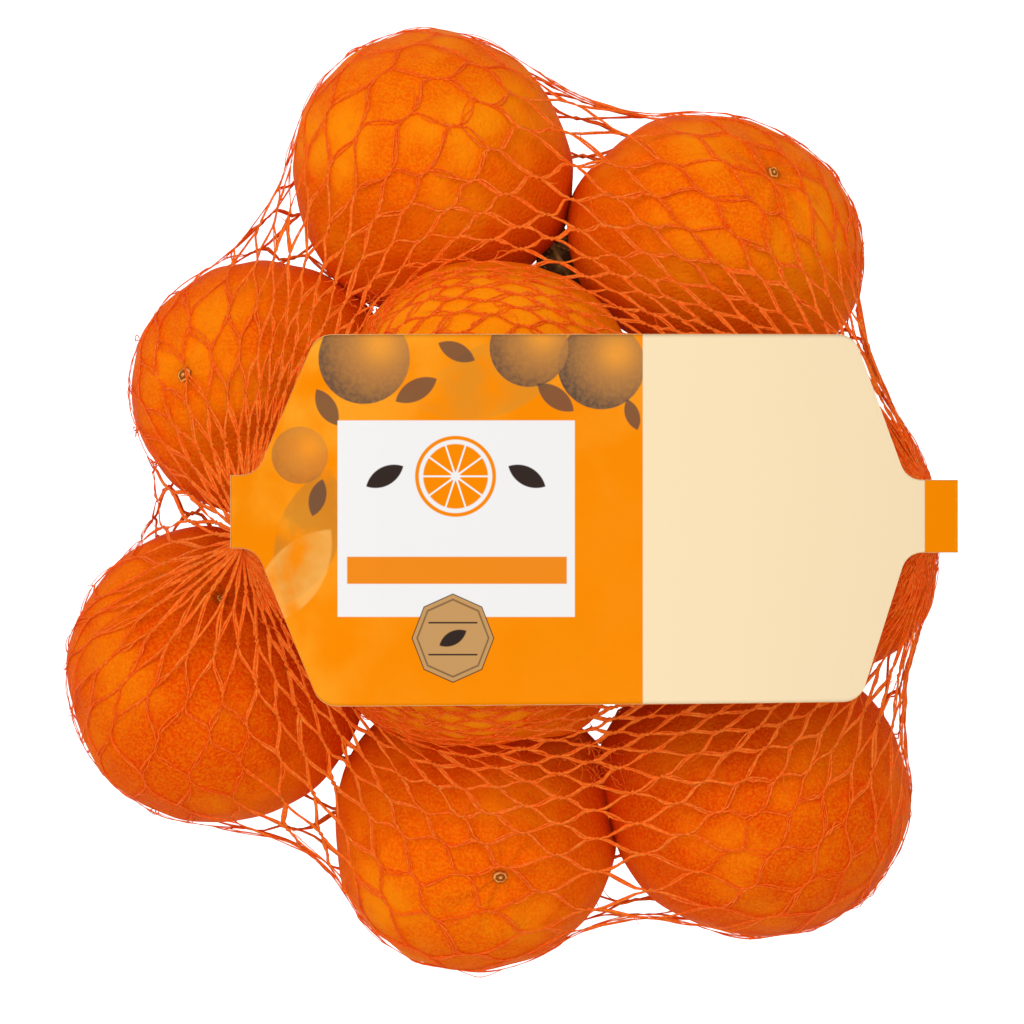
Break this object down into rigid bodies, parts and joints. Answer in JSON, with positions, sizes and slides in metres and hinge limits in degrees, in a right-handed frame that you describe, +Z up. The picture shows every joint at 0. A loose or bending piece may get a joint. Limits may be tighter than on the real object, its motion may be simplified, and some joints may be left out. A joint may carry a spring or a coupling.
{
  "type": "net of mandarins",
  "caption": "Knitted plastic net of small easy-peel citrus fruit, gathered at both ends under a flat printed label band with tabs; lies label side up.",
  "frame": {"origin": "middle of the pack's box in plan, at the height of the surface that it lies on", "axes": "+X along the label band, from its orange end to its plain end; +Y across the band; +Z up, towards the label"},
  "size_m": [0.1719, 0.1869, 0.0803],
  "materials": {
    "mandarin_peel": "waxy peel with fine pores",
    "label_print": "printed film, orange, cream and white",
    "net_plastic": "knitted polyethylene threads"
  },
  "bodies": {
    "root": {"net_of_mandarins": "mandarin_peel", "label": "label_print"}
  },
  "joints": []
}
